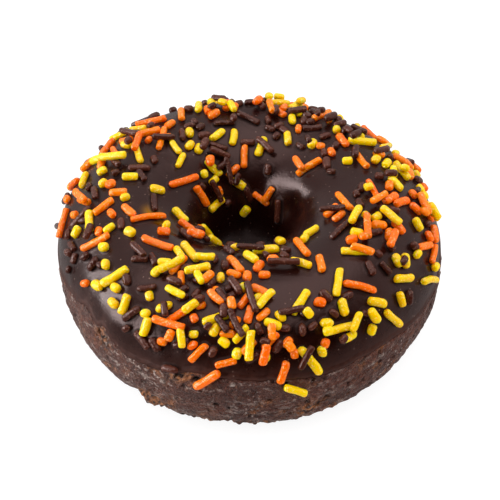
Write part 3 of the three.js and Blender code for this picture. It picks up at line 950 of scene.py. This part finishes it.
class Shader:
    """A material's node tree, built a node at a time."""

    def __init__(self, name, clouds=None):
        self.forms = clouds
        self.material = bpy.data.materials.new(name)
        self.material.use_nodes = True
        self.tree = self.material.node_tree
        self.surface = self.tree.nodes["Principled BSDF"]

    def add(self, kind, inputs=None, **settings):
        """A node with its settings and its inputs, which are values or other nodes' outputs."""
        node = self.tree.nodes.new(kind)
        for key, value in settings.items():
            setattr(node, key, value)
        for key, value in (inputs or {}).items():
            self.put(node.inputs[key], value)
        return node

    def put(self, socket, value):
        """Links an output to the socket, or sets the socket's own value."""
        if isinstance(value, bpy.types.NodeSocket):
            self.tree.links.new(value, socket)
        else:
            socket.default_value = value

    def finish(self, inputs):
        """Gives the surface its inputs and returns the material."""
        for name, value in inputs.items():
            self.put(self.surface.inputs[name], value)
        return self.material

    def noise(self, scale, detail, roughness, stretch=(1, 1, 1)):
        """Cloudy noise from 0 to 1, with the scale in features to a metre."""
        place = self.add("ShaderNodeTexCoord").outputs["Object"]
        if stretch != (1, 1, 1):
            place = self.add("ShaderNodeVectorMath", {0: place, 1: stretch}, operation="MULTIPLY").outputs[0]
        inputs = {"Vector": place, "Scale": scale, "Detail": detail, "Roughness": roughness}
        return self.add("ShaderNodeTexNoise", inputs).outputs["Fac"]

    def clouds(self, name, stretch=(1, 1, 1)):
        """The noise of this name in the material's table."""
        scale, detail, roughness, *limits = self.forms[name]
        return self.ramp(self.noise(scale, detail, roughness, stretch), *limits)

    def dots(self, scale, inner, outer):
        place = self.add("ShaderNodeTexCoord").outputs["Object"]
        distance = self.add("ShaderNodeTexVoronoi", {"Vector": place, "Scale": scale}).outputs["Distance"]
        return self.ramp(distance, outer, inner)

    def ramp(self, value, low, high, to_low=0.0, to_high=1.0):
        """The value stretched so that low and high become to_low and to_high, and cut off there."""
        inputs = {"Value": value, "From Min": low, "From Max": high, "To Min": to_low, "To Max": to_high}
        return self.add("ShaderNodeMapRange", inputs).outputs["Result"]

    def mix(self, share, first, second, blend="MIX"):
        """The first colour with the share given of the second."""
        node = self.add("ShaderNodeMix", data_type="RGBA", blend_type=blend)
        colours = [socket for socket in node.inputs if socket.type == "RGBA"]
        self.put(node.inputs[0], share)
        self.put(colours[0], first)
        self.put(colours[1], second)
        return [socket for socket in node.outputs if socket.type == "RGBA"][0]

    def math(self, operation, first, second):
        return self.add("ShaderNodeMath", {0: first, 1: second}, operation=operation).outputs[0]

    def times(self, first, second):
        return self.math("MULTIPLY", first, second)

    def value(self, name):
        """The mesh's own attribute of this name."""
        return self.add("ShaderNodeAttribute", attribute_name=name).outputs["Fac"]

    def bump(self, layers):
        """The normal of a surface with layers of noise as its bumps."""
        normal = None
        for height, *form in layers:
            inputs = {"Height": self.noise(*form), "Distance": height, "Strength": 1.0}
            node = self.add("ShaderNodeBump", inputs)
            if normal is not None:
                self.put(node.inputs["Normal"], normal)
            normal = node.outputs["Normal"]
        return normal


def dough_material():
    """Baked crumb: mottled brown, with dried glaze in streaks that also paints sheen on the lit left side,
    torn spots with painted shade in their gaps, painted shade in the pits, and pale spots and flecks, the
    flecks partly sugar and partly painted glints.
    """
    shader = Shader("dough_crumb", CRUMB_CLOUDS)
    paint = {name: srgb(steps) for name, steps in CRUMB_COLOURS.items()}
    colour = shader.mix(shader.clouds("patches"), paint["deep"], paint["light"])
    for name in ("shade", "bran"):
        colour = shader.mix(shader.times(shader.clouds(name), CRUMB_COVER[name]), colour, paint[name])
    colour = shader.mix(1.0, colour, shader.clouds("mottling"), "MULTIPLY")
    # Dried glaze streaks, thicker on the lit left side, where they also paint its sheen.
    glaze_and_sheen = shader.times(shader.value("glaze_and_sheen"), CRUMB_COVER["glaze"])
    dried = shader.times(shader.clouds("glaze", STREAK_STRETCH), glaze_and_sheen)
    colour = shader.mix(dried, colour, paint["glaze"])
    # Torn crumb: its own orange, with painted shade for the gaps where the noise is low.
    torn_colour = shader.mix(shader.clouds("open"), paint["torn_gap_shade"], paint["torn_light"])
    colour = shader.mix(shader.times(shader.value("torn"), CRUMB_COVER["torn"]), colour, torn_colour)
    # Painted shade in the pits and gaps.
    colour = shader.mix(shader.value("pit"), colour, paint["pit"])
    # Pale sugar flecks from noise, partly painted glints, and the listed pale spots.
    flecks = shader.times(shader.clouds("clusters"), shader.clouds("specks"))
    caught = shader.times(shader.value("pale"), shader.clouds("caught"))
    pale = shader.math("MINIMUM", shader.math("MAXIMUM", flecks, caught), 1.0)
    colour = shader.mix(shader.times(pale, CRUMB_COVER["sugar"]), colour, paint["sugar"])
    return shader.finish({
        "Base Color": colour,
        "Roughness": shader.clouds("roughness"),
        "Specular IOR Level": 0.44,
        "Specular Tint": SUGAR_TINT,
        "Sheen Weight": 0.1,
        "Sheen Roughness": 0.4,
        "Sheen Tint": CRUMB_TINT,
        "Normal": shader.bump(CRUMB_BUMPS),
    })


def icing_material():
    """Set chocolate: satin, dulled where it is thin or meets a sprinkle, darkened there with painted contact
    shade, with dye stains and sugar dust.
    """
    shader = Shader("chocolate_icing", ICING_CLOUDS)
    paint = {name: srgb(steps) for name, steps in ICING_COLOURS.items()}
    colour = shader.mix(shader.clouds("tone"), paint["deep"], paint["light"])
    stain = shader.times(shader.value("stain"), shader.clouds("stain"))
    colour = shader.mix(shader.times(stain, ICING_COVER["stain"]), colour, paint["stain"])
    colour = shader.mix(shader.times(shader.value("bleed"), ICING_COVER["bleed"]), colour, paint["bleed"])
    thin = shader.times(shader.value("thin"), shader.clouds("ragged"))
    contact_shade = shader.value("contact_shade")
    colour = shader.mix(thin, colour, paint["thin"])
    # Painted contact shade where the icing meets a sprinkle.
    colour = shader.mix(contact_shade, colour, paint["contact_shade"])
    dust = shader.times(shader.dots(*DUST_DOTS), shader.clouds("dust"))
    colour = shader.mix(shader.times(dust, ICING_COVER["dust"]), colour, paint["dust"])
    dulled = shader.math("ADD", shader.times(thin, DULLED["thin"]), shader.times(contact_shade, DULLED["contact_shade"]))
    return shader.finish({
        "Base Color": colour,
        "Roughness": shader.math("ADD", shader.clouds("roughness"), dulled),
        "Specular IOR Level": 0.36,
        "Specular Tint": ICING_TINT,
        "Normal": shader.bump(ICING_BUMPS),
    })


def sprinkle_material(kind):
    """Set sugar: light soaks in and comes out nearby, and the skin is smooth, with pale specks of painted
    glint on the crests of its finer bumps.
    """
    shader = Shader("sugar_" + kind, SPRINKLE_CLOUDS)
    paint = {name: srgb(steps) for name, steps in SPRINKLE_COLOURS[kind].items()}
    colour = shader.mix(shader.value("tone"), paint["dull"], paint["bright"])
    # Pale specks of painted glint, on the same noise as the finer bumps.
    colour = shader.mix(shader.times(shader.clouds("specks"), GLINT_SPECK_COVER), colour, paint["pale"])
    return shader.finish({
        "Base Color": colour,
        "Subsurface Weight": SPRINKLE_GLOW[kind],
        "Subsurface Radius": (1.0, 0.5, 0.15),
        "Subsurface Scale": 0.0012,
        "Roughness": shader.clouds("roughness"),
        "Specular IOR Level": 0.46,
        "Specular Tint": SPRINKLE_SHINE[kind],
        "Normal": shader.bump(SPRINKLE_BUMPS),
    })


# Pieces.

bars = lay_all_sprinkles()

dough = make_dough()
dough.data.materials.append(dough_material())
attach(dough, "root")
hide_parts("dough")

icing = make_icing(bars)
icing.data.materials.append(icing_material())
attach(icing, "root")
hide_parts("icing")

for seed, kind in enumerate(SPRINKLE_COLOURS, start=SHAPE_SEED):
    sprinkles = make_sprinkles(kind, bars, seed)
    sprinkles.data.materials.append(sprinkle_material(kind))
    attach(sprinkles, "root")
    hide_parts("icing")

# Floor, lights and camera.


def floor_material(name, shade, glow):
    """Paper that glows evenly, or not at all."""
    shader = Shader(name)
    return shader.finish({
        "Base Color": (shade, shade, shade, 1),
        "Roughness": 0.9,
        "Specular IOR Level": 0.0,
        "Emission Color": (1, 1, 1, 1),
        "Emission Strength": glow,
    })


def make_floor():
    """White glowing paper, plain under the ring so that no light comes up through the hole."""
    turn = np.arange(FLOOR_SIDES) * 2 * math.pi / FLOOR_SIDES
    circle = np.stack([np.cos(turn), np.sin(turn), 0 * turn], axis=1)
    mesh = bpy.data.meshes.new("floor")
    faces = [tuple(range(FLOOR_SIDES))]
    for side in range(FLOOR_SIDES):
        after = (side + 1) % FLOOR_SIDES
        faces.append((side, side + FLOOR_SIDES, after + FLOOR_SIDES, after))
    mesh.from_pydata(np.concatenate([circle * FLOOR_MIDDLE, circle * FLOOR_REACH]).tolist(), [], faces)
    floor = bpy.data.objects.new("floor", mesh)
    bpy.context.scene.collection.objects.link(floor)
    floor.data.materials.append(floor_material("floor_paper", FLOOR_SHADE, FLOOR_GLOW))
    floor.data.materials.append(floor_material("floor_middle", MIDDLE_SHADE, 0.0))
    floor.data.polygons[0].material_index = 1
    floor.visible_glossy = False


def make_light(name, size, place, power, colour=(1, 1, 1), diffuse=True, glossy=True):
    """A soft panel aimed at the ring."""
    data = bpy.data.lights.new(name, "AREA")
    data.color = colour
    data.shape = "RECTANGLE"
    data.size, data.size_y = size
    data.energy = power
    light = bpy.data.objects.new(name, data)
    light.location = place
    light.rotation_mode = "QUATERNION"
    light.rotation_quaternion = (Vector(LIGHT_AIM) - Vector(place)).to_track_quat("-Z", "Y")
    light.visible_camera = False
    light.visible_diffuse = diffuse
    light.visible_glossy = glossy
    bpy.context.scene.collection.objects.link(light)


def make_world():
    """A white room: a bright panel overhead, walls that are dark in front, and a dim lower half that
    stands in for the floor, which reflections don't show."""
    world = bpy.data.worlds.new("studio")
    world.use_nodes = True
    tree = world.node_tree

    def fade(value, limits, strengths):
        node = tree.nodes.new("ShaderNodeMapRange")
        node.interpolation_type = "SMOOTHSTEP"
        tree.links.new(value, node.inputs["Value"])
        node.inputs["From Min"].default_value, node.inputs["From Max"].default_value = limits
        node.inputs["To Min"].default_value, node.inputs["To Max"].default_value = strengths
        return node.outputs["Result"]

    direction = tree.nodes.new("ShaderNodeSeparateXYZ")
    tree.links.new(tree.nodes.new("ShaderNodeTexCoord").outputs["Generated"], direction.inputs[0])
    walls = fade(direction.outputs["Y"], WALL_FADE, WALL_LIGHT)
    overhead = fade(direction.outputs["Z"], PANEL_FADE, (0, 1))
    strength = tree.nodes.new("ShaderNodeMix")
    tree.links.new(overhead, strength.inputs["Factor"])
    tree.links.new(walls, strength.inputs["A"])
    strength.inputs["B"].default_value = PANEL_LIGHT
    above = fade(direction.outputs["Z"], FLOOR_FADE, (0, 1))
    room = tree.nodes.new("ShaderNodeMix")
    tree.links.new(above, room.inputs["Factor"])
    room.inputs["A"].default_value = FLOOR_IN_REFLECTIONS
    tree.links.new(strength.outputs["Result"], room.inputs["B"])
    background = tree.nodes["Background"]
    background.inputs["Color"].default_value = ROOM_COLOUR
    tree.links.new(room.outputs["Result"], background.inputs["Strength"])
    bpy.context.scene.world = world


def make_camera():
    """The photo's view, looking down from the front."""
    data = bpy.data.cameras.new("camera")
    data.sensor_width = SENSOR
    data.lens = SENSOR * FOCAL_PIXELS / PHOTO_PIXELS
    data.clip_start = 0.01
    data.clip_end = 20
    camera = bpy.data.objects.new("camera", data)
    rise = CAMERA_ELEVATION * DEG
    aim = Vector((np.array(CAMERA_AIM) + SHIFT) * MM)
    back = Vector((0, -math.cos(rise), math.sin(rise)))
    camera.location = aim + back * CAMERA_DISTANCE * MM
    camera.rotation_mode = "QUATERNION"
    camera.rotation_quaternion = (-back).to_track_quat("-Z", "Y")
    bpy.context.scene.collection.objects.link(camera)
    bpy.context.scene.camera = camera


make_floor()
for name, settings in LIGHTS.items():
    make_light(name, **settings)
make_world()
make_camera()
bpy.context.scene.view_settings.view_transform = "Standard"
